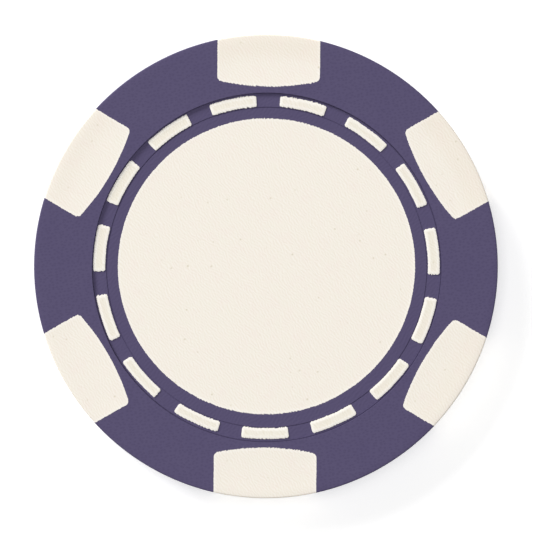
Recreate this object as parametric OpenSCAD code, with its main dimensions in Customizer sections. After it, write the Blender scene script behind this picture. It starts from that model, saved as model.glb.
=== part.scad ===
// Six-spot casino chip: a weighted composite body with pressed-in cream inserts.
// The chip lies flat on the XY plane with its lower rim face at z = 0 and its axis on +Z.
// Its two faces are the same, and +Y runs through the middle of one edge spot.

/* [Chip] */
// Diameter over the rim
chip_d = 39; // [38.6:0.1:40]
// Thickness over the two rim faces
chip_t = 3.3; // [3.2:0.1:3.6]
// Radius that rounds the two corners of the rim
rim_round = 0.15; // [0.1:0.05:0.5]

/* [Recessed face] */
// Diameter of the recess that the rim surrounds, on each face
recess_d = 29.32; // [29.26:0.02:29.5]
// Depth of the recess below the rim face
recess_depth = 0.25; // [0.18:0.01:0.28]
// Diameter of the fine scored line between the ring and the middle
score_d = 26.92; // [26.9:0.01:26.94]
// Width of the fine scored line
score_w = 0.12; // [0.06:0.02:0.12]
// Width of the groove at the foot of the recess wall
foot_w = 0.1; // [0.06:0.02:0.1]
// Depth of the scored line and of the foot groove
score_depth = 0.07; // [0.03:0.01:0.1]

/* [Edge spots] */
// Number of edge spots
spot_count = 6; // [4, 6, 8]
// Width of a spot between its parallel sides
spot_w = 8.62; // [6:0.1:8.7]
// Distance from the chip's axis to the nose of a spot
spot_reach = 15.27; // [15.2:0.01:16.5]
// Radius of the bowed nose of a spot
spot_nose_r = 19.7; // [12:0.1:30]
// Radius that rounds the two inner corners of a spot
spot_corner_r = 0.42; // [0.2:0.02:0.8]

/* [Ring dashes] */
// Number of dashes in the ring
dash_count = 15; // [9:3:18]
// Radius of the inner side of a dash
dash_in_r = 13.55; // [13.53:0.01:13.57]
// Width of a dash across the ring
dash_w = 0.95; // [0.6:0.05:0.95]
// Angle that a dash spans
dash_span = 15.8; // [8:0.2:16]
// Height that a dash stands above the recessed face
dash_proud = 0.1; // [0:0.02:0.16]
// Radius that rounds the four corners of a dash
dash_corner_r = 0.17; // [0.1:0.01:0.25]

/* [Inlays] */
// Diameter of the inlay disc on each face
inlay_d = 25; // [24:0.1:25.4]
// Thickness of an inlay disc
inlay_t = 0.18; // [0.1:0.02:0.22]

/* [Weight] */
// Diameter of the steel weight slug
slug_d = 26.2; // [20:0.2:26.2]
// Thickness of the slug
slug_t = 2.1; // [1:0.1:2.1]
// Diameter of the flow holes that the moulding keys through
flow_hole_d = 2; // [1:0.2:3]
// Radius of the circle that the flow holes lie on
flow_circle_r = 8.6; // [6:0.2:8.6]
// Number of flow holes
flow_hole_count = 6; // [3:3:6]
// Diameter of the pin holes that hold the slug in the mould
pin_hole_d = 1.4; // [0.8:0.2:2]
// Radius of the circle that the pin holes lie on
pin_circle_r = 10.9; // [10.6:0.1:11]

/* [Hidden] */
chip_r = chip_d / 2;
recess_r = recess_d / 2;
inlay_z = recess_depth + inlay_t;
dash_z = recess_depth - dash_proud;
slug_z = (chip_t - slug_t) / 2;
dash_out_r = dash_in_r + dash_w;
spot_step = 360 / spot_count;
dash_step = 360 / dash_count;
flow_step = 360 / flow_hole_count;
pin_count = 3;
pin_step = 360 / pin_count;
// Directions of the first spot and of the first dash, which face each other across the chip
spot_start = 90;
dash_start = -90;
// How far a cutter passes the face that it cuts
past = 1;
$fn = 96;
// Steps along a dash's long sides and round its corners
ring_steps = 8;
corner_steps = 4;

body_colour = "#58516f";
cream_colour = "#f4eee2";
slug_colour = "#8d9093";

SPOTS = [for (i = [1 : spot_count]) str("edge_spot_", i)];
DASHES = [for (i = [1 : dash_count]) str("ring_dash_", i)];

// Half section of the whole disc, with its rim corners rounded
module disc_section() {
    square([chip_r - rim_round, chip_t]);
    translate([0, rim_round]) square([chip_r, chip_t - 2 * rim_round]);
    for (z = [rim_round, chip_t - rim_round])
        translate([chip_r - rim_round, z]) circle(r = rim_round);
}

// Half section of what one face gives away: the recess, the scored line and the foot groove
module face_cut_section() {
    translate([0, -past]) square([recess_r, past + recess_depth]);
    translate([score_d / 2, recess_depth]) polygon([
        [-score_w / 2, 0], [0, score_depth], [score_w / 2, 0], [0, -score_depth]]);
    polygon([
        [recess_r - foot_w, recess_depth], [recess_r, recess_depth + score_depth],
        [recess_r, 0], [recess_r - foot_w, 0]]);
}

// The disc with both faces recessed, before anything is let into it
module blank() {
    rotate_extrude() difference() {
        disc_section();
        face_cut_section();
        translate([0, chip_t]) mirror([0, 1]) face_cut_section();
    }
}

// The disc before its faces are recessed
module plain_disc() {
    rotate_extrude() disc_section();
}

// Outline of an edge spot that points along +X: a bowed nose, two rounded corners and straight sides
module spot_outline() {
    nose_x = spot_reach + spot_nose_r;
    corner_y = spot_w / 2 - spot_corner_r;
    corner_turn = asin(corner_y / (spot_nose_r - spot_corner_r));
    corner_x = nose_x - (spot_nose_r - spot_corner_r) * cos(corner_turn);
    // The sector ends where the nose meets each corner round
    sector_r = 2 * spot_nose_r;
    intersection() {
        translate([nose_x, 0]) circle(r = spot_nose_r, $fn = 360);
        polygon([
            [nose_x, 0],
            [nose_x - sector_r * cos(corner_turn), sector_r * sin(corner_turn)],
            [nose_x - sector_r * cos(corner_turn), -sector_r * sin(corner_turn)]]);
    }
    for (side = [-1, 1])
        translate([corner_x, side * corner_y]) circle(r = spot_corner_r);
    translate([corner_x, -spot_w / 2]) square([chip_r + past - corner_x, spot_w]);
}

// Points along an arc, with both of its ends
function arc(centre, r, from, to, steps) =
    [for (s = [0 : steps]) let (a = from + (to - from) * s / steps) centre + r * [cos(a), sin(a)]];

// Points between the two ends of an arc about the chip's axis
function ring_arc(r, from, to) =
    [for (s = [1 : ring_steps - 1]) let (a = from + (to - from) * s / ring_steps) r * [cos(a), sin(a)]];

// Outline of a dash that lies across +X: two long sides that follow the ring, and four rounded corners
module dash_outline() {
    half_turn = dash_span / 2;
    // The turn from a straight end to the middle of its corner rounds
    corner_turn = asin(dash_corner_r / (dash_in_r + dash_w / 2));
    side_turn = half_turn - corner_turn;
    out_r = dash_out_r / (1 + sin(corner_turn));
    in_r = dash_in_r / (1 - sin(corner_turn));
    out_round = out_r * sin(corner_turn);
    in_round = in_r * sin(corner_turn);
    left = [cos(side_turn), sin(side_turn)];
    right = [cos(side_turn), -sin(side_turn)];
    polygon(concat(
        ring_arc(dash_out_r, -side_turn, side_turn),
        arc(out_r * left, out_round, side_turn, half_turn + 90, corner_steps),
        arc(in_r * left, in_round, half_turn + 90, side_turn + 180, corner_steps),
        ring_arc(dash_in_r, side_turn, -side_turn),
        arc(in_r * right, in_round, 180 - side_turn, 270 - half_turn, corner_steps),
        arc(out_r * right, out_round, 270 - half_turn, 360 - side_turn, corner_steps)));
}

// Upright column with a spot's outline, through the whole chip
module spot_column(i) {
    rotate(spot_start + (i - 1) * spot_step)
        translate([0, 0, -past]) linear_extrude(chip_t + 2 * past) spot_outline();
}

// Dash insert, through the whole web and a little proud of both recessed faces
module dash_insert(i) {
    rotate(dash_start + (i - 1) * dash_step)
        translate([0, 0, dash_z]) linear_extrude(chip_t - 2 * dash_z) dash_outline();
}

// Steel disc with holes that the moulding flows through
module slug_solid() {
    difference() {
        translate([0, 0, slug_z]) cylinder(d = slug_d, h = slug_t);
        translate([0, 0, slug_z - past]) cylinder(d = flow_hole_d, h = slug_t + 2 * past);
        for (i = [0 : flow_hole_count - 1])
            rotate(i * flow_step) translate([flow_circle_r, 0, slug_z - past])
                cylinder(d = flow_hole_d, h = slug_t + 2 * past);
    }
}

module inlay_disc(z) {
    translate([0, 0, z]) cylinder(d = inlay_d, h = inlay_t, $fn = 180);
}

// Moulded body: six lobes and a web, with windows for the inserts and the slug sealed inside
module body() {
    color(body_colour) difference() {
        blank();
        for (i = [1 : spot_count]) spot_column(i);
        for (i = [1 : dash_count]) dash_insert(i);
        inlay_disc(recess_depth);
        inlay_disc(chip_t - inlay_z);
        slug_solid();
        // The pin holes open under the inlays
        for (i = [0 : pin_count - 1])
            rotate(flow_step / 2 + i * pin_step) translate([pin_circle_r, 0, recess_depth])
                cylinder(d = pin_hole_d, h = chip_t - 2 * recess_depth);
    }
}

module weight_slug() {
    color(slug_colour) slug_solid();
}

module front_inlay() {
    color(cream_colour) inlay_disc(chip_t - inlay_z);
}

module back_inlay() {
    color(cream_colour) inlay_disc(recess_depth);
}

module edge_spot(i) {
    color(cream_colour) intersection() {
        plain_disc();
        spot_column(i);
    }
}

module ring_dash(i) {
    color(cream_colour) dash_insert(i);
}

body();
weight_slug();
front_inlay();
back_inlay();
for (i = [1 : spot_count])
    edge_spot(i);
for (i = [1 : dash_count])
    ring_dash(i);
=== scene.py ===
"""Looks for a casino chip: a purple moulded body with cream edge spots, ring dashes and inlays let into it.

The chip's two faces are drawn as one flat plan. Every seam between the body and an insert is a ragged
line in that plan, which both of its pieces share, so the pieces meet with no gap. Each piece is then
raised from its share of the plan: a front surface, a back surface and the walls between them.
Sizes are in millimetres until a mesh is made, and in metres after that.
"""

import math

import bpy
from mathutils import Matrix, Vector, geometry, kdtree, noise


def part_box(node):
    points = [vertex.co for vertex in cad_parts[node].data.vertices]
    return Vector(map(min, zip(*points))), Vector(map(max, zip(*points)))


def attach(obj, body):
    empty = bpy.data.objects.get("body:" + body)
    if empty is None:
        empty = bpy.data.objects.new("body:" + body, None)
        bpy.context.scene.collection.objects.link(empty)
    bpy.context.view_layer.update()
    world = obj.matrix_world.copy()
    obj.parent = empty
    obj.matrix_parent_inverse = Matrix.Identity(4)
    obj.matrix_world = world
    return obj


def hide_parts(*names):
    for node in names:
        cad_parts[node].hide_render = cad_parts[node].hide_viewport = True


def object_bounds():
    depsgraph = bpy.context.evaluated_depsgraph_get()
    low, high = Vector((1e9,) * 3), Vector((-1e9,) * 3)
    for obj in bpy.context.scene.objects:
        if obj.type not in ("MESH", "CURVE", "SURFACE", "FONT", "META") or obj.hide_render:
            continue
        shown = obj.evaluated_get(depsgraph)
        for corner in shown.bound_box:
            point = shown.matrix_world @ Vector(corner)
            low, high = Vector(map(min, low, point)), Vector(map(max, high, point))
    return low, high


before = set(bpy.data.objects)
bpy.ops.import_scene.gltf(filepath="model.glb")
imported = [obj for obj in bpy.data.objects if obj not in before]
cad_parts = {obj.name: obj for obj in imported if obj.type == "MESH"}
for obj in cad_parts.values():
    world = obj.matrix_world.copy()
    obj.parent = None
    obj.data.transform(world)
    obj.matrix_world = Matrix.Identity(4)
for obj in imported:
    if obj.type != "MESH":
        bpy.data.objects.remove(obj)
cad_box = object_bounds()

MM = 0.001

# The chip's sizes, from the frame
CHIP_R = cad_box[1].x / MM
CHIP_T = cad_box[1].z / MM
INLAY_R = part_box("front_inlay")[1].x / MM
INLAY_DEPTH = CHIP_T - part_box("front_inlay")[1].z / MM
POCKET_DEPTH = CHIP_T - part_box("front_inlay")[0].z / MM
SPOT_HALF_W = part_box("edge_spot_1")[1].x / MM
SPOT_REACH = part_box("edge_spot_1")[0].y / MM
DASH_OUT_R = -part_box("ring_dash_1")[0].y / MM
DASH_DEPTH = CHIP_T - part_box("ring_dash_1")[1].z / MM

# What the boxes don't tell
RIM_ROUND = 0.15
RECESS_R = 14.685
RECESS_CHAMFER = 0.015
SCORE_R = 13.47
SCORE_DEPTH = 0.07
FOOT_DEPTH = 0.03
# A groove's flat floor and its flanks, as distances from its middle, and the foot groove's outer flank
# as a distance from the recess wall
FLOOR_HALF_W = 0.015
FLANK_HALF_W = 0.045
FOOT_W = 0.07
SPOT_COUNT = 6
SPOT_NOSE_R = 19.7
SPOT_CORNER_R = 0.42
SPOT_START = math.radians(90)
DASH_COUNT = 15
DASH_IN_R = 13.55
DASH_HALF_TURN = math.radians(7.97)
DASH_CORNER_R = 0.17
DASH_START = math.radians(-90)

# How far the face tool and the inlay sit off the chip's axis
RING_SHIFT = (0.08, -0.1)
INLAY_SHIFT = (0.048, 0.01)
# How far the moulding's flash laps over the inlay's edge, and how far the edge is out of round, with
# the direction of its long axis
INLAY_LAP = 0.032
INLAY_OVAL = 0.032
INLAY_OVAL_TURN = math.radians(15)
# How far each spot sits from its true place: outwards, and anticlockwise
SPOT_SHIFTS = [(-0.15, -0.07), (-0.1, 0.18), (-0.1, 0.05), (-0.05, 0.09), (0.12, -0.06), (0, -0.1)]
# How far the dashes' ring sits off the axis, and by what share it is stretched from left to right and
# squeezed from front to back
DASH_SHIFT = (0.053, -0.07)
DASH_STRETCH = 0.003
# How far each long side of a dash came out beyond its true place towards this direction and its
# opposite, and fell short of it a quarter turn away
DASH_SWELL = 0.041
DASH_SWELL_TURN = math.radians(148)

# How far the flash bit across a seam, and how far apart its teeth stand
SEAM_BITE = 0.1
TOOTH_PITCH = 0.28

# How much a spot sinks in its middle, how far a dash's edges drop and its middle hollows, how much an
# inlay sinks, and how high the slow waves of each surface are
SPOT_SINK = 0.018
SPOT_WAVE = 0.006
DASH_DROP = 0.028
DASH_HOLLOW = 0.01
INLAY_SINK = 0.004
INLAY_WAVE = 0.006
BODY_WAVE = 0.004
# How deep the parting line is, how much of the rim's height it takes to either side, and how far a seam
# wanders on its way down the rim
PARTING_DEPTH = 0.022
PARTING_SHARE = 0.03
SEAM_WANDER = 0.055

# Creases sharper than this stay sharp
CREASE = math.radians(38)
# Points closer than this are one point
HAIR = 1e-6

# How finely seams and rings are drawn
SEAM_STEP = 0.045
ROW_STEP = 0.2
DASH_ROW_STEP = 0.12
RING_STEPS = 720
INLAY_STEPS = 1740
RIM_ROUND_STEPS = 6
RIM_LEVELS = 19
# Where rows of points follow an outline, as distances inside it, and the radii of the rows on the rim
SPOT_ROWS = (0.1, 0.2, 0.5)
DASH_ROWS = (0.08, 0.16, 0.3)
INLAY_ROWS = ((0.1, 720), (0.2, 720), (0.5, 360))
RIM_ROWS = (15.0, 15.6, 16.4, 17.2, 18.0, 18.8)
# The least radius that rounds the corners of a row
SPOT_ROW_CORNER_R = 0.1
DASH_ROW_CORNER_R = 0.03


# ---------------------------------------------------------------- outlines in the plan


def turned(points, angle):
    """The points turned about the chip's axis."""
    c, s = math.cos(angle), math.sin(angle)
    return [(x * c - y * s, x * s + y * c) for x, y in points]


def moved(points, shift):
    return [(x + shift[0], y + shift[1]) for x, y in points]


def arc(centre, radius, start, end, step=SEAM_STEP):
    """Points along an arc from one angle to another, both ends included."""
    count = max(2, round(abs(end - start) * radius / step))
    angles = [start + (end - start) * i / count for i in range(count + 1)]
    return [(centre[0] + radius * math.cos(a), centre[1] + radius * math.sin(a)) for a in angles]


def line(start, end, step=SEAM_STEP):
    """Points along a straight line, both ends included."""
    count = max(1, round(math.dist(start, end) / step))
    return [
        (start[0] + (end[0] - start[0]) * i / count, start[1] + (end[1] - start[1]) * i / count)
        for i in range(count + 1)
    ]


def joined(*paths):
    """One path from several that meet end to end."""
    points = []
    for path in paths:
        points += path if not points else path[1:]
    return points


def spot_seam(i, inset=0.0, step=SEAM_STEP):
    """The seam of an edge spot, from the rim round its nose and back to the rim."""
    out, across = SPOT_SHIFTS[i]
    half_w = SPOT_HALF_W - inset
    corner = max(SPOT_CORNER_R - inset, SPOT_ROW_CORNER_R)
    nose_x, nose_r = SPOT_REACH + SPOT_NOSE_R + out, SPOT_NOSE_R - inset
    turn = math.asin((half_w - corner) / (nose_r - corner))
    corner_x = nose_x - (nose_r - corner) * math.cos(turn)
    left, right = across + half_w, across - half_w
    outline = joined(
        line((math.sqrt(CHIP_R**2 - left**2), left), (corner_x, left), step),
        arc((corner_x, left - corner), corner, math.pi / 2, math.pi - turn, step),
        arc((nose_x, across), nose_r, math.pi - turn, math.pi + turn, step),
        arc((corner_x, right + corner), corner, math.pi + turn, math.pi * 1.5, step),
        line((corner_x, right), (math.sqrt(CHIP_R**2 - right**2), right), step),
    )
    return turned(outline, spot_angle(i))


def dash_outline(i, inset=0.0, step=SEAM_STEP):
    """The closed outline of a ring dash."""
    swell = DASH_SWELL * math.cos(2 * (dash_angle(i) - DASH_SWELL_TURN))
    out_r, in_r = DASH_OUT_R + swell - inset, DASH_IN_R - swell + inset
    mid_r = (out_r + in_r) / 2
    half_turn = DASH_HALF_TURN - inset / mid_r
    corner = max(DASH_CORNER_R - inset, DASH_ROW_CORNER_R)
    corner_turn = math.asin(corner / mid_r)
    side = half_turn - corner_turn
    out_c, in_c = out_r / (1 + math.sin(corner_turn)), in_r / (1 - math.sin(corner_turn))
    out_round, in_round = out_r - out_c, in_c - in_r
    c, s = math.cos(side), math.sin(side)
    quarter = math.pi / 2
    corners = [
        arc((out_c * c, out_c * s), out_round, side, half_turn + quarter, step),
        arc((in_c * c, in_c * s), in_round, half_turn + quarter, side + math.pi, step),
        arc((in_c * c, -in_c * s), in_round, math.pi - side, 3 * quarter - half_turn, step),
        arc((out_c * c, -out_c * s), out_round, -quarter - half_turn, -side, step),
    ]
    outline = joined(
        arc((0, 0), out_r, -side, side, step),
        corners[0],
        line(corners[0][-1], corners[1][0], step),
        corners[1],
        arc((0, 0), in_r, side, -side, step),
        corners[2],
        line(corners[2][-1], corners[3][0], step),
        corners[3],
    )
    laid = turned(outline[:-1], dash_angle(i))
    return moved([(x * (1 + DASH_STRETCH), y * (1 - DASH_STRETCH)) for x, y in laid], DASH_SHIFT)


def ripple(x, y, mm, seed):
    """Smooth unevenness about this many millimetres across, from -1 to 1."""
    return noise.noise((x / mm, y / mm, seed))


def ragged(points, seed, closed):
    """The points pushed to and fro across their path, as where one plastic bled into the other.

    The flash came out in short slanted teeth, which show only where the seam runs left to right.
    """
    pushed = []
    last = len(points) - 1
    for i, (x, y) in enumerate(points):
        if not closed and i in (0, last):
            pushed.append((x, y))
            continue
        (x0, y0), (x1, y1) = points[i - 1], points[(i + 1) % len(points)]
        length = math.dist((x0, y0), (x1, y1))
        nx, ny = (y1 - y0) / length, (x0 - x1) / length
        # 1 where the seam runs left to right, and 0 where it runs front to back
        level = abs(ny)
        tooth = (x / TOOTH_PITCH + 1.4 * ripple(x, y, 0.8, seed)) % 1 - 0.5
        size = 0.9 + 1.1 * ripple(x, y, 0.4, seed + 40)
        grain = 0.5 * ripple(x, y, 0.1, seed + 60)
        swing = 0.5 * ripple(x, y, 1.1, seed + 80)
        push = tooth * size * level**6 + grain * (0.5 + 0.2 * level) + swing * (0.25 + 0.35 * level)
        push *= SEAM_BITE
        pushed.append((x + nx * push, y + ny * push))
    return pushed


def ring(radius, steps=RING_STEPS):
    return [
        (radius * math.cos(math.tau * i / steps), radius * math.sin(math.tau * i / steps))
        for i in range(steps)
    ]


def inlay_edge(inset=0.0, steps=INLAY_STEPS):
    """The inlay's closed outline, a little out of round."""
    points = []
    for i in range(steps):
        angle = math.tau * i / steps
        radius = INLAY_R - INLAY_LAP - inset + INLAY_OVAL * math.cos(2 * (angle - INLAY_OVAL_TURN))
        points.append((radius * math.cos(angle), radius * math.sin(angle)))
    return moved(points, INLAY_SHIFT)


def angle_of(point):
    return math.atan2(point[1], point[0])


# ---------------------------------------------------------------- the plan


class Plan:
    """The whole chip seen from above, cut into triangles that each belong to one piece."""

    def __init__(self):
        self.points, self.edges, self.loops, self.owners = [], [], [], []
        self.seams = {}

    def add_path(self, points, closed):
        first = len(self.points)
        self.points += points
        last = len(self.points) - 1
        self.edges += [(i, i + 1) for i in range(first, last)]
        if closed:
            self.edges.append((last, first))
        return list(range(first, last + 1))

    def add_piece(self, owner, outline, seam=None):
        self.loops.append(self.add_path(outline, closed=True))
        self.owners.append(owner)
        self.seams[owner] = seam or outline

    def cut(self):
        """Triangulates the plan. A triangle inside several outlines belongs to the last one added."""
        only_inside = 1
        points, _, faces, _, _, outlines = geometry.delaunay_2d_cdt(
            [Vector(p) for p in self.points], self.edges, self.loops, only_inside, HAIR
        )
        self.places = [(p.x, p.y) for p in points]
        self.shares = {owner: [] for owner in self.owners}
        for corners, inside in zip(faces, outlines):
            a, b, c = (self.places[i] for i in corners)
            turn = (b[0] - a[0]) * (c[1] - a[1]) - (b[1] - a[1]) * (c[0] - a[0])
            share = self.shares[self.owners[max(inside)]]
            share.append(tuple(corners) if turn > 0 else tuple(reversed(corners)))


def spot_angle(i):
    return SPOT_START + math.tau * i / SPOT_COUNT


def dash_angle(i):
    return DASH_START + math.tau * i / DASH_COUNT


def draw_plan():
    plan = Plan()
    seams = [ragged(spot_seam(i), seed=i, closed=False) for i in range(SPOT_COUNT)]
    # The rim passes through the two ends of every spot's seam
    ends = [end for seam in seams for end in (seam[0], seam[-1])]
    clear = [p for p in ring(CHIP_R) if min(math.dist(p, end) for end in ends) > 0.04]
    rim = sorted(clear + ends, key=angle_of)
    plan.add_piece("body", rim)
    for i, seam in enumerate(seams):
        # The seam runs clockwise round the nose, so the rim closes it from its last end to its first
        sweep = (angle_of(seam[0]) - angle_of(seam[-1])) % math.tau
        over = [p for p in rim if HAIR < (angle_of(p) - angle_of(seam[-1])) % math.tau < sweep - HAIR]
        over.sort(key=lambda p: (angle_of(p) - angle_of(seam[-1])) % math.tau)
        plan.add_piece(f"edge_spot_{i + 1}", seam + over, seam)
    for i in range(DASH_COUNT):
        plan.add_piece(f"ring_dash_{i + 1}", ragged(dash_outline(i), seed=10 + i, closed=True))
    plan.add_piece("inlay", ragged(inlay_edge(), seed=30, closed=True))

    # Rings and inner outlines where a surface bends, and a mesh of points where it swells
    for radius, _ in RING_PROFILE[1:]:
        plan.add_path(moved(ring(radius), RING_SHIFT), closed=True)
    for radius, _ in RIM_PROFILE[:-1]:
        plan.add_path(ring(radius), closed=True)
    for radius in RIM_ROWS:
        plan.add_path(ring(radius, RING_STEPS // 2), closed=True)
    for i in range(SPOT_COUNT):
        for inset in SPOT_ROWS:
            # The row's ends stay clear of the rim
            plan.add_path(spot_seam(i, inset, ROW_STEP)[3:-3], closed=False)
    for i in range(DASH_COUNT):
        for inset in DASH_ROWS:
            plan.add_path(dash_outline(i, inset, DASH_ROW_STEP), closed=True)
    for inset, steps in INLAY_ROWS:
        plan.add_path(inlay_edge(inset, steps), closed=True)
    # The inlay's middle has points in rows that are offset by half a pitch, like a honeycomb's
    pitch = 0.5
    row_pitch = 0.866 * pitch
    grid_r = INLAY_R - 0.6
    reach = int(CHIP_R / pitch) + 1
    for row in range(-reach, reach + 1):
        for column in range(-reach, reach + 1):
            x, y = (column + row % 2 / 2) * pitch, row * row_pitch
            if math.hypot(x, y) < grid_r:
                plan.points.append((x, y))
    plan.cut()
    return plan


# ---------------------------------------------------------------- heights


# (radius, depth below the rim face), from the middle out to the face of the rim
RING_PROFILE = [
    (0, INLAY_DEPTH),
    (SCORE_R - FLANK_HALF_W, INLAY_DEPTH),
    (SCORE_R - FLOOR_HALF_W, INLAY_DEPTH + SCORE_DEPTH),
    (SCORE_R + FLOOR_HALF_W, INLAY_DEPTH + SCORE_DEPTH),
    (SCORE_R + FLANK_HALF_W, INLAY_DEPTH),
    (RECESS_R - FOOT_W, INLAY_DEPTH),
    (RECESS_R - FLANK_HALF_W, INLAY_DEPTH + FOOT_DEPTH),
    (RECESS_R - FLOOR_HALF_W, INLAY_DEPTH + FOOT_DEPTH),
    (RECESS_R, RECESS_CHAMFER),
    (RECESS_R + RECESS_CHAMFER, 0),
]

# The same for the rounded rim, over a quarter turn
RIM_PROFILE = [
    (
        CHIP_R - RIM_ROUND * (1 - math.sin(math.pi / 2 * i / RIM_ROUND_STEPS)),
        RIM_ROUND * (1 - math.cos(math.pi / 2 * i / RIM_ROUND_STEPS)),
    )
    for i in range(RIM_ROUND_STEPS + 1)
]


def along(profile, radius):
    """The depth that a profile has at a radius."""
    for (r0, d0), (r1, d1) in zip(profile, profile[1:]):
        if radius <= r1:
            return d0 + (d1 - d0) * max(radius - r0, 0) / (r1 - r0)
    return profile[-1][1]


def moulded_depth(x, y):
    """Depth of the moulded face below the rim face."""
    from_ring = math.dist((x, y), RING_SHIFT)
    if from_ring > RING_PROFILE[-1][0]:
        return along(RIM_PROFILE, math.hypot(x, y))
    groove = along(RING_PROFILE, from_ring) - INLAY_DEPTH
    # How far round a point lies towards the upper left, from -1 to 1
    lean = math.cos(math.atan2(y, x) - math.radians(135))
    if from_ring < DASH_IN_R:
        # The scored line is faintest at the upper right and the lower left
        groove *= 0.35 + 0.65 * abs(lean)
    elif groove > 0:
        # The foot groove runs out towards the upper left
        groove *= 1 - 0.9 * max(lean, 0)
    return INLAY_DEPTH + groove


def smooth(value, low, high):
    """Goes from 0 at the low value to 1 at the high one, with no corner at either."""
    t = min(max((value - low) / (high - low), 0), 1)
    return t * t * (3 - 2 * t)


def spot_depth(x, y, inward, seed):
    """A spot is flush at its seam and sinks a little towards its middle, as thick plastic shrinks."""
    to_rim = CHIP_R - math.hypot(x, y)
    sink = SPOT_SINK * smooth(inward, 0.1, 1.6) * smooth(to_rim, 0.3, 1.5)
    wave = SPOT_WAVE * (1 + ripple(x, y, 2.2, seed)) * smooth(inward, 0, 0.6)
    return moulded_depth(x, y) + (sink + wave) * smooth(to_rim, 0.25, 0.8)


def dash_depth(x, y, inward, seed):
    """A dash stands proud with softened edges and a faint hollow along its middle."""
    edge = DASH_DROP * (1 - smooth(inward, 0, 0.12))
    hollow = DASH_HOLLOW * smooth(inward, 0.15, 0.42)
    return DASH_DEPTH + edge + hollow


def inlay_depth(x, y, inward, seed):
    """An inlay is flush at its edge, with the slow waves of a pressed sheet."""
    wave = INLAY_WAVE * ripple(x, y, 4, seed) * smooth(inward, 0, 1)
    return INLAY_DEPTH + INLAY_SINK * smooth(inward, 0, 0.3) + wave


def pocket_depth(x, y, inward, seed):
    """The flat floor of the pocket that an inlay sits in."""
    return POCKET_DEPTH


def body_depth(x, y, inward, seed):
    """The moulding itself, with a slow unevenness on the rim's face."""
    flat = smooth(math.dist((x, y), RING_SHIFT), RECESS_R + 0.1, RECESS_R + 0.5)
    flat *= smooth(CHIP_R - math.hypot(x, y), 0.3, 0.8) * smooth(inward, 0, 0.5)
    return moulded_depth(x, y) + BODY_WAVE * flat * (1 + ripple(x, y, 3, seed))


# ---------------------------------------------------------------- pieces from the plan


def rim_wall(x, y, level):
    """A point on the rim at a level from 0, the front, to 1, the back.

    The seams wander a little down the rim, and a fine parting line runs round its middle.
    """
    wander = SEAM_WANDER * (ripple(x, y, 0.9, level * 7) + 0.5 * ripple(x, y, 1, level * 21))
    angle = math.atan2(y, x) + wander * math.sin(math.pi * level) ** 0.5 / CHIP_R
    radius = CHIP_R - PARTING_DEPTH * max(0, 1 - abs(level - 0.5) / PARTING_SHARE)
    return radius * math.cos(angle), radius * math.sin(angle)


class Solid:
    """A mesh under construction, in millimetres."""

    def __init__(self):
        self.points, self.faces, self.inward = [], [], []

    def add_point(self, x, y, z, inward=0.0):
        self.points.append((x, y, z))
        self.inward.append(inward)
        return len(self.points) - 1

    def add_wall(self, tops, bottoms, edges, columns):
        """Walls down from the front edges to the back ones, by way of the columns' points."""
        for a, b in edges:
            down, up = columns.get(a, []), columns.get(b, [])
            if down and up:
                left, right = [tops[a]] + down + [bottoms[a]], [tops[b]] + up + [bottoms[b]]
                for i in range(len(left) - 1):
                    self.faces.append((left[i], left[i + 1], right[i + 1], right[i]))
            else:
                self.faces.append((tops[a], *down, bottoms[a], bottoms[b], *reversed(up), tops[b]))

    def make(self, name, material):
        mesh = bpy.data.meshes.new(name)
        mesh.from_pydata([[c * MM for c in p] for p in self.points], [], self.faces)
        mesh.polygons.foreach_set("use_smooth", [True] * len(mesh.polygons))
        mesh.set_sharp_from_angle(angle=CREASE)
        inward = mesh.attributes.new("inward", "FLOAT", "POINT")
        inward.data.foreach_set("value", self.inward)
        mesh.materials.append(material)
        piece = bpy.data.objects.new(name, mesh)
        bpy.context.scene.collection.objects.link(piece)
        return piece


def open_edges(triangles):
    """The edges that only one triangle has, each in that triangle's direction."""
    found = set()
    for a, b, c in triangles:
        for edge in ((a, b), (b, c), (c, a)):
            if edge[::-1] in found:
                found.remove(edge[::-1])
            else:
                found.add(edge)
    return sorted(found)


def distance_to(points):
    """A function that gives how far a place is from the nearest of these points."""
    tree = kdtree.KDTree(len(points))
    for i, (x, y) in enumerate(points):
        tree.insert((x, y, 0), i)
    tree.balance()
    return lambda x, y: tree.find((x, y, 0))[2]


def surface(solid, plan, triangles, depth, inward_at, back, seed):
    """Adds one face of a piece, and returns plan index to mesh index.

    The back has waves of its own, so its seed is another.
    """
    at = {}
    if back:
        seed += 7
    for i in sorted({i for t in triangles for i in t}):
        x, y = plan.places[i]
        inward = inward_at(x, y)
        down = max(depth(x, y, inward, seed), 0)
        at[i] = solid.add_point(x, y, down if back else CHIP_T - down, inward)
    for t in triangles:
        a, b, c = (at[i] for i in t)
        solid.faces.append((c, b, a) if back else (a, b, c))
    return at


def rim_columns(solid, plan, edges):
    """The points between front and back at each rim point of a piece's outline."""
    columns = {}
    inside_rim = CHIP_R - 0.001
    for i in sorted({i for edge in edges for i in edge}):
        x, y = plan.places[i]
        if math.hypot(x, y) < inside_rim:
            continue
        column = []
        for k in range(1, RIM_LEVELS):
            level = k / RIM_LEVELS
            z = RIM_ROUND + (CHIP_T - 2 * RIM_ROUND) * (1 - level)
            column.append(solid.add_point(*rim_wall(x, y, level), z))
        columns[i] = column
    return columns


def raise_insert(plan, owner, depth, material, seed):
    """An insert that runs through the whole chip."""
    solid = Solid()
    triangles = plan.shares[owner]
    inward_at = distance_to(plan.seams[owner])
    tops = surface(solid, plan, triangles, depth, inward_at, back=False, seed=seed)
    bottoms = surface(solid, plan, triangles, depth, inward_at, back=True, seed=seed)
    edges = open_edges(triangles)
    solid.add_wall(tops, bottoms, edges, rim_columns(solid, plan, edges))
    return solid.make(f"{owner}_insert", material)


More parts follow.
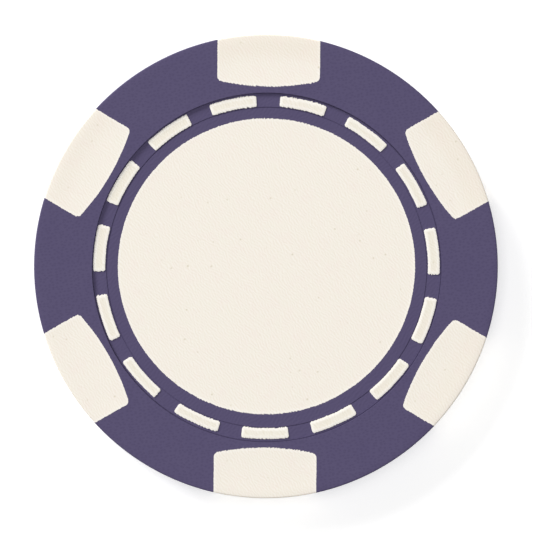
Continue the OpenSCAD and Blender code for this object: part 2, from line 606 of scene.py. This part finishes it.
def raise_inlay(plan, name, material, back):
    """A thin disc in the pocket of one face."""
    solid = Solid()
    triangles = plan.shares["inlay"]
    inward_at = distance_to(plan.seams["inlay"])
    outside = surface(solid, plan, triangles, inlay_depth, inward_at, back, seed=50)
    underside = surface(solid, plan, triangles, pocket_depth, inward_at, back, seed=50)
    # The underside faces the other way
    solid.faces[len(triangles):] = [f[::-1] for f in solid.faces[len(triangles):]]
    tops, bottoms = (underside, outside) if back else (outside, underside)
    solid.add_wall(tops, bottoms, open_edges(triangles), {})
    return solid.make(name, material)


def raise_body(plan, material):
    """The moulding round all the inserts, with a pocket in each face and the slug's cavity inside."""
    solid = Solid()
    triangles = plan.shares["body"]
    pocket = plan.shares["inlay"]
    inward_at = distance_to([p for seam in plan.seams.values() for p in seam])
    tops = surface(solid, plan, triangles, body_depth, inward_at, back=False, seed=60)
    bottoms = surface(solid, plan, triangles, body_depth, inward_at, back=True, seed=60)
    front_floor = surface(solid, plan, pocket, pocket_depth, inward_at, back=False, seed=60)
    back_floor = surface(solid, plan, pocket, pocket_depth, inward_at, back=True, seed=60)
    round_pocket = set(open_edges(pocket))
    edges = open_edges(triangles)
    outer = [e for e in edges if e[::-1] not in round_pocket]
    inner = [e for e in edges if e[::-1] in round_pocket]
    solid.add_wall(tops, bottoms, outer, rim_columns(solid, plan, outer))
    solid.add_wall(tops, front_floor, inner, {})
    solid.add_wall(back_floor, bottoms, inner, {})
    # The cavity is the slug's own shape, facing the other way
    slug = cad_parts["weight_slug"].data
    first = len(solid.points)
    for v in slug.vertices:
        solid.add_point(*(v.co / MM))
    solid.faces += [tuple(first + i for i in reversed(p.vertices)) for p in slug.polygons]
    return solid.make("body_moulding", material)


# ---------------------------------------------------------------- materials


def colour(hex_code):
    """Linear RGBA from an sRGB hex code."""
    parts = [int(hex_code[i : i + 2], 16) / 255 for i in (1, 3, 5)]
    return (*[c / 12.92 if c <= 0.04045 else ((c + 0.055) / 1.055) ** 2.4 for c in parts], 1)


def add_node(tree, kind, inputs, **settings):
    """Adds a node with its settings and links.

    An input goes by its name, or by its number where several share a name. It is given a value, or a
    link where the value is another node's output.
    """
    node = tree.nodes.new(kind)
    for name, value in settings.items():
        setattr(node, name, value)
    for name, value in inputs.items():
        if isinstance(value, bpy.types.NodeSocket):
            tree.links.new(value, node.inputs[name])
        else:
            node.inputs[name].default_value = value
    return node


def new_material(name, **shader):
    """A material whose shader has these values, with its tree and shader."""
    material = bpy.data.materials.new(name)
    material.use_nodes = True
    tree = material.node_tree
    principled = next(n for n in tree.nodes if n.type == "BSDF_PRINCIPLED")
    for socket, value in shader.items():
        principled.inputs[socket.replace("_", " ")].default_value = value
    return material, tree, principled


def per(mm):
    """The texture scale that makes a pattern this many millimetres across."""
    return 1 / (mm * MM)


def moulded_surface(tree):
    """Where a tool's pattern lies: flat on the two faces, and rolled round the rim."""
    place = add_node(tree, "ShaderNodeTexCoord", {}).outputs["Object"]
    at = add_node(tree, "ShaderNodeSeparateXYZ", {"Vector": place}).outputs
    turn = add_node(tree, "ShaderNodeMath", {0: at["Y"], 1: at["X"]}, operation="ARCTAN2")
    rolled = add_node(tree, "ShaderNodeMath", {0: turn.outputs[0], 1: CHIP_R * MM}, operation="MULTIPLY")
    on_rim = add_node(tree, "ShaderNodeCombineXYZ", {"X": rolled.outputs[0], "Y": at["Z"]})
    normal = add_node(tree, "ShaderNodeNewGeometry", {}).outputs["True Normal"]
    upward = add_node(tree, "ShaderNodeSeparateXYZ", {"Vector": normal}).outputs["Z"]
    steep = add_node(tree, "ShaderNodeMath", {0: upward}, operation="ABSOLUTE")
    is_face = add_node(tree, "ShaderNodeMath", {0: steep.outputs[0], 1: 0.7}, operation="GREATER_THAN")
    return add_node(
        tree, "ShaderNodeMix", {0: is_face.outputs[0], 4: on_rim.outputs[0], 5: place}, data_type="VECTOR"
    ).outputs[1]


# Colours of the purple plastic: the ground, its slow drift, and the flecks
PURPLE = "#564e6f"
PURPLE_DRIFT = "#544c6e"
PURPLE_FLECK = "#504869"


def purple_composite():
    """Mineral-filled plastic from a spark-eroded mould: matt and even, with rows of short dark flecks."""
    material, tree, shader = new_material("Moulded purple composite", Specular_IOR_Level=0.25)
    place = add_node(tree, "ShaderNodeTexCoord", {}).outputs["Object"]
    surface_place = moulded_surface(tree)
    # The erosion's pits are a tenth of these sizes, and are drawn this coarse to show at all:
    # flecks 0.3 mm apart, and slanting streaks as far from each other
    fleck_place = add_node(
        tree, "ShaderNodeMapping",
        {
            "Vector": surface_place, "Rotation": (0, 0, math.radians(8)),
            "Scale": (0.36 * MM, 0.25 * MM, MM),
        },
        vector_type="TEXTURE",
    )
    flecks = add_node(
        tree, "ShaderNodeTexVoronoi",
        {"Vector": fleck_place.outputs["Vector"], "Scale": 1.0, "Randomness": 0.75},
        voronoi_dimensions="2D",
    )
    streaks = add_node(
        tree, "ShaderNodeTexGabor",
        {
            "Vector": surface_place, "Scale": per(0.6), "Frequency": 2.1, "Anisotropy": 0.7,
            4: math.radians(135),
        },
    )
    drift = add_node(tree, "ShaderNodeTexNoise", {"Vector": place, "Scale": per(2), "Detail": 2.0})
    # The rim took flecks from its tool, and the recessed ring and the land took streaks
    from_axis = add_node(tree, "ShaderNodeVectorMath", {"Vector": place}, operation="LENGTH")
    on_rim = add_node(
        tree, "ShaderNodeMapRange",
        {"Value": from_axis.outputs["Value"], "From Min": 14.6 * MM, "From Max": 14.8 * MM},
    )
    fleck = add_node(
        tree, "ShaderNodeMapRange", {"Value": flecks.outputs["Distance"], "From Min": 0.45, "From Max": 0.1}
    )
    streak = add_node(
        tree, "ShaderNodeMapRange", {"Value": streaks.outputs["Value"], "From Min": 0.64, "From Max": 0.3}
    )
    grain = add_node(
        tree, "ShaderNodeMix",
        {"Factor": on_rim.outputs["Result"], "A": streak.outputs["Result"], "B": fleck.outputs["Result"]},
    ).outputs["Result"]
    ground = add_node(
        tree, "ShaderNodeMix",
        {0: drift.outputs["Fac"], 6: colour(PURPLE), 7: colour(PURPLE_DRIFT)}, data_type="RGBA",
    )
    coloured = add_node(
        tree, "ShaderNodeMix", {0: grain, 6: ground.outputs[2], 7: colour(PURPLE_FLECK)}, data_type="RGBA"
    )
    relief = add_node(
        tree, "ShaderNodeBump", {"Height": grain, "Distance": 0.004 * MM, "Strength": 0.5}, invert=True
    )
    sheen = add_node(
        tree, "ShaderNodeMapRange", {"Value": drift.outputs["Fac"], "To Min": 0.66, "To Max": 0.78}
    )
    tree.links.new(coloured.outputs[2], shader.inputs["Base Color"])
    tree.links.new(sheen.outputs["Result"], shader.inputs["Roughness"])
    tree.links.new(relief.outputs["Normal"], shader.inputs["Normal"])
    return material


# Colours of the cream plastic: its heart, and its edge where it bled at a seam
CREAM = "#faf4ea"
CREAM_EDGE = "#fdf8f0"
THIN_CREAM = "#f3eddf"
THIN_CREAM_EDGE = "#fefaf2"
# What the cream is multiplied by: in the troughs of its grain, where it drifts to pink or green, and
# for the painted shade at the outer ends of the spots
GRAIN_TROUGH = "#f9f7f3"
SPOT_END_SHADE = "#fcfaf8"
PINK_DRIFT = "#fffdfe"
GREEN_DRIFT = "#fefffe"
# Its specks, where a crumb of plastic scorched in the mould
SPECK = "#ddd4be"


def cream_composite(name, heart, edge, edge_mm):
    """Unfilled cream plastic: wavy flow grain, a few scorched specks, and a paler edge at each seam."""
    material, tree, shader = new_material(name, Specular_IOR_Level=0.3)
    place = add_node(tree, "ShaderNodeTexCoord", {}).outputs["Object"]
    to_seam = add_node(tree, "ShaderNodeAttribute", {}, attribute_name="inward")
    bled = add_node(
        tree, "ShaderNodeMapRange",
        {"Value": to_seam.outputs["Fac"], "From Min": 0.4 * edge_mm, "From Max": edge_mm},
        interpolation_type="SMOOTHSTEP",
    )
    ground = add_node(
        tree, "ShaderNodeMix",
        {0: bled.outputs["Result"], 6: colour(edge), 7: colour(heart)}, data_type="RGBA",
    )
    # Waves 0.22 mm apart that break up after one or two, on a ground that is itself bent to and fro
    flat = moulded_surface(tree)
    bend = add_node(tree, "ShaderNodeTexNoise", {"Vector": flat, "Scale": per(0.4), "Detail": 1.0})
    bent = add_node(
        tree, "ShaderNodeVectorMath", {0: bend.outputs["Color"], 1: (0.2 * MM, 0.2 * MM, 0), 2: flat},
        operation="MULTIPLY_ADD",
    )
    grain = add_node(
        tree, "ShaderNodeTexGabor",
        {
            "Vector": bent.outputs["Vector"], "Scale": per(0.36), "Frequency": 1.6, "Anisotropy": 0.75,
            4: math.radians(38),
        },
    )
    trough = add_node(
        tree, "ShaderNodeMapRange", {"Value": grain.outputs["Value"], "From Min": 0.65, "From Max": 0.35}
    )
    grained = add_node(
        tree, "ShaderNodeMix",
        {0: trough.outputs["Result"], 6: ground.outputs[2], 7: colour(GRAIN_TROUGH)},
        data_type="RGBA", blend_type="MULTIPLY",
    )
    drift = add_node(tree, "ShaderNodeTexNoise", {"Vector": place, "Scale": per(0.9), "Detail": 3.0})
    to_pink = add_node(
        tree, "ShaderNodeMapRange", {"Value": drift.outputs["Fac"], "From Min": 0.5, "From Max": 0.75}
    )
    to_green = add_node(
        tree, "ShaderNodeMapRange", {"Value": drift.outputs["Fac"], "From Min": 0.5, "From Max": 0.25}
    )
    pink = add_node(
        tree, "ShaderNodeMix",
        {0: to_pink.outputs["Result"], 6: grained.outputs[2], 7: colour(PINK_DRIFT)},
        data_type="RGBA", blend_type="MULTIPLY",
    )
    green = add_node(
        tree, "ShaderNodeMix",
        {0: to_green.outputs["Result"], 6: pink.outputs[2], 7: colour(GREEN_DRIFT)},
        data_type="RGBA", blend_type="MULTIPLY",
    )
    # Painted shade: the outer ends of the spots are a little darker, most of all at the upper right
    from_axis = add_node(tree, "ShaderNodeVectorMath", {0: place}, operation="LENGTH")
    outer_end = add_node(
        tree, "ShaderNodeMapRange",
        {"Value": from_axis.outputs["Value"], "From Min": 17.2 * MM, "From Max": 18.6 * MM},
        interpolation_type="SMOOTHSTEP",
    )
    across = add_node(tree, "ShaderNodeVectorMath", {0: place, 1: (0.5, 0.87, 0)}, operation="DOT_PRODUCT")
    side = add_node(
        tree, "ShaderNodeMapRange",
        {"Value": across.outputs["Value"], "From Min": -CHIP_R * MM, "From Max": CHIP_R * MM},
    )
    spot_end_shade_mask = add_node(
        tree, "ShaderNodeMath", {0: outer_end.outputs["Result"], 1: side.outputs["Result"]},
        operation="MULTIPLY",
    )
    spot_end_shaded = add_node(
        tree, "ShaderNodeMix",
        {0: spot_end_shade_mask.outputs["Value"], 6: green.outputs[2], 7: colour(SPOT_END_SHADE)},
        data_type="RGBA", blend_type="MULTIPLY",
    )
    # One speck to a cell of this size, where the cell's middle lies near enough to the surface
    cell = 1.2
    specks = add_node(tree, "ShaderNodeTexVoronoi", {"Vector": place, "Scale": per(cell)})
    speck = add_node(
        tree, "ShaderNodeMapRange",
        {"Value": specks.outputs["Distance"], "From Min": 0.13 / cell, "From Max": 0.03 / cell},
        interpolation_type="SMOOTHSTEP",
    )
    burnt = add_node(
        tree, "ShaderNodeMath", {0: speck.outputs["Result"], 1: specks.outputs["Color"]},
        operation="MULTIPLY",
    )
    scorched = add_node(
        tree, "ShaderNodeMix",
        {0: burnt.outputs["Value"], 6: spot_end_shaded.outputs[2], 7: colour(SPECK)}, data_type="RGBA",
    )
    sheen = add_node(
        tree, "ShaderNodeMapRange", {"Value": drift.outputs["Fac"], "To Min": 0.56, "To Max": 0.68}
    )
    relief = add_node(
        tree, "ShaderNodeBump", {"Height": grain.outputs["Value"], "Distance": 0.02 * MM, "Strength": 0.5}
    )
    tree.links.new(scorched.outputs[2], shader.inputs["Base Color"])
    tree.links.new(sheen.outputs["Result"], shader.inputs["Roughness"])
    tree.links.new(relief.outputs["Normal"], shader.inputs["Normal"])
    return material


# Colours of the zinc: bright, and where it has clouded over
ZINC = "#b4b6b8"
ZINC_DULL = "#9a9da1"


def plated_steel():
    """Bright zinc plate on a disc punched from rolled strip: fine roll lines and a cloudy shine."""
    material, tree, shader = new_material("Zinc-plated rolled steel", Metallic=1.0)
    place = add_node(tree, "ShaderNodeTexCoord", {}).outputs["Object"]
    roll_place = add_node(
        tree, "ShaderNodeMapping",
        {"Vector": place, "Scale": (6 * MM, 0.08 * MM, 0.08 * MM)}, vector_type="TEXTURE",
    )
    roll = add_node(
        tree, "ShaderNodeTexNoise", {"Vector": roll_place.outputs["Vector"], "Scale": 1.0, "Detail": 2.0}
    )
    cloud = add_node(tree, "ShaderNodeTexNoise", {"Vector": place, "Scale": per(3), "Detail": 3.0})
    plate = add_node(
        tree, "ShaderNodeMix",
        {0: cloud.outputs["Fac"], 6: colour(ZINC), 7: colour(ZINC_DULL)}, data_type="RGBA",
    )
    shine = add_node(
        tree, "ShaderNodeMapRange", {"Value": cloud.outputs["Fac"], "To Min": 0.26, "To Max": 0.44}
    )
    relief = add_node(
        tree, "ShaderNodeBump", {"Height": roll.outputs["Fac"], "Distance": 0.003 * MM, "Strength": 0.6}
    )
    tree.links.new(plate.outputs[2], shader.inputs["Base Color"])
    tree.links.new(shine.outputs["Result"], shader.inputs["Roughness"])
    tree.links.new(relief.outputs["Normal"], shader.inputs["Normal"])
    return material


# ---------------------------------------------------------------- the chip

plan = draw_plan()
purple = purple_composite()
cream = cream_composite("Moulded cream composite", CREAM, CREAM_EDGE, edge_mm=0.26)
dash_cream = cream_composite("Thin moulded cream composite", THIN_CREAM, THIN_CREAM_EDGE, edge_mm=0.36)

body = raise_body(plan, purple)
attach(body, "root")
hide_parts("body")

inserts = {f"edge_spot_{i + 1}": (spot_depth, cream, i) for i in range(SPOT_COUNT)}
inserts |= {f"ring_dash_{i + 1}": (dash_depth, dash_cream, 100 + i) for i in range(DASH_COUNT)}
for owner, (depth, material, seed) in inserts.items():
    insert = raise_insert(plan, owner, depth, material, seed)
    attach(insert, "root")
    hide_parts(owner)

for owner, back in (("front_inlay", False), ("back_inlay", True)):
    inlay = raise_inlay(plan, f"{owner}_disc", cream, back)
    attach(inlay, "root")
    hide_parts(owner)

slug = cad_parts["weight_slug"]
slug.data.materials.clear()
slug.data.materials.append(plated_steel())

# ---------------------------------------------------------------- floor, light and camera

WHITE = "#ffffff"
TABLE_WHITE = "#e7e7e7"
TABLE_REACH = 1.5


def light_table():
    """The plain floor: a matt white sheet lit from below, so that it shows no edge and little shadow."""
    material, _, shader = new_material("White light table", Roughness=0.9, Emission_Strength=0.46)
    shader.inputs["Base Color"].default_value = colour(TABLE_WHITE)
    shader.inputs["Emission Color"].default_value = colour(WHITE)
    corners = [(x * TABLE_REACH, y * TABLE_REACH, 0) for x, y in ((-1, -1), (1, -1), (1, 1), (-1, 1))]
    mesh = bpy.data.meshes.new("floor")
    mesh.from_pydata(corners, [], [(0, 1, 2, 3)])
    mesh.materials.append(material)
    table = bpy.data.objects.new("floor", mesh)
    bpy.context.scene.collection.objects.link(table)
    return table


floor = light_table()


def softbox(name, azimuth, elevation, distance, size, power):
    """A square area light that looks at the chip from this far in metres. Azimuth is measured from +X."""
    data = bpy.data.lights.new(name, "AREA")
    data.shape = "SQUARE"
    data.size = size
    data.energy = power
    lamp = bpy.data.objects.new(name, data)
    a, e = math.radians(azimuth), math.radians(elevation)
    towards = Vector((math.cos(a) * math.cos(e), math.sin(a) * math.cos(e), math.sin(e)))
    lamp.location = towards * distance
    lamp.rotation_mode = "QUATERNION"
    lamp.rotation_quaternion = towards.to_track_quat("Z", "Y")
    bpy.context.scene.collection.objects.link(lamp)


softbox("overhead", azimuth=90, elevation=90, distance=1.0, size=0.8, power=5.5)
softbox("key", azimuth=135, elevation=26.5, distance=2.0, size=0.84, power=34.4)

# The room's walls are far off. They look white, and light the chip only a little
ROOM_LIGHT = 0.145
ROOM_SEEN = 1.0
world = bpy.data.worlds.new("room")
bpy.context.scene.world = world
world.use_nodes = True
walls = world.node_tree.nodes["Background"]
walls.inputs["Color"].default_value = colour(WHITE)
ray = add_node(world.node_tree, "ShaderNodeLightPath", {})
brightness = add_node(
    world.node_tree, "ShaderNodeMapRange",
    {"Value": ray.outputs["Is Camera Ray"], "To Min": ROOM_LIGHT, "To Max": ROOM_SEEN},
)
world.node_tree.links.new(brightness.outputs["Result"], walls.inputs["Strength"])
bpy.context.scene.view_settings.view_transform = "Standard"

LENS = 150.0
SENSOR = 36.0
# The chip fills this much of the frame's width
FILL = 0.871
# How far the camera stands off the chip's axis, and how far it is turned about it
CAMERA_OFF_AXIS = (0.048, -0.007)
CAMERA_TURN = math.radians(0.55)
camera_data = bpy.data.cameras.new("camera")
camera_data.lens = LENS
camera_data.sensor_width = SENSOR
camera_data.clip_start = 0.001
camera = bpy.data.objects.new("camera", camera_data)
bpy.context.scene.collection.objects.link(camera)
view_width = 2 * CHIP_R * MM / FILL
camera_height = CHIP_T * MM + view_width * LENS / SENSOR
camera.location = (CAMERA_OFF_AXIS[0] * MM, CAMERA_OFF_AXIS[1] * MM, camera_height)
camera.rotation_euler = (0, 0, CAMERA_TURN)
bpy.context.scene.camera = camera
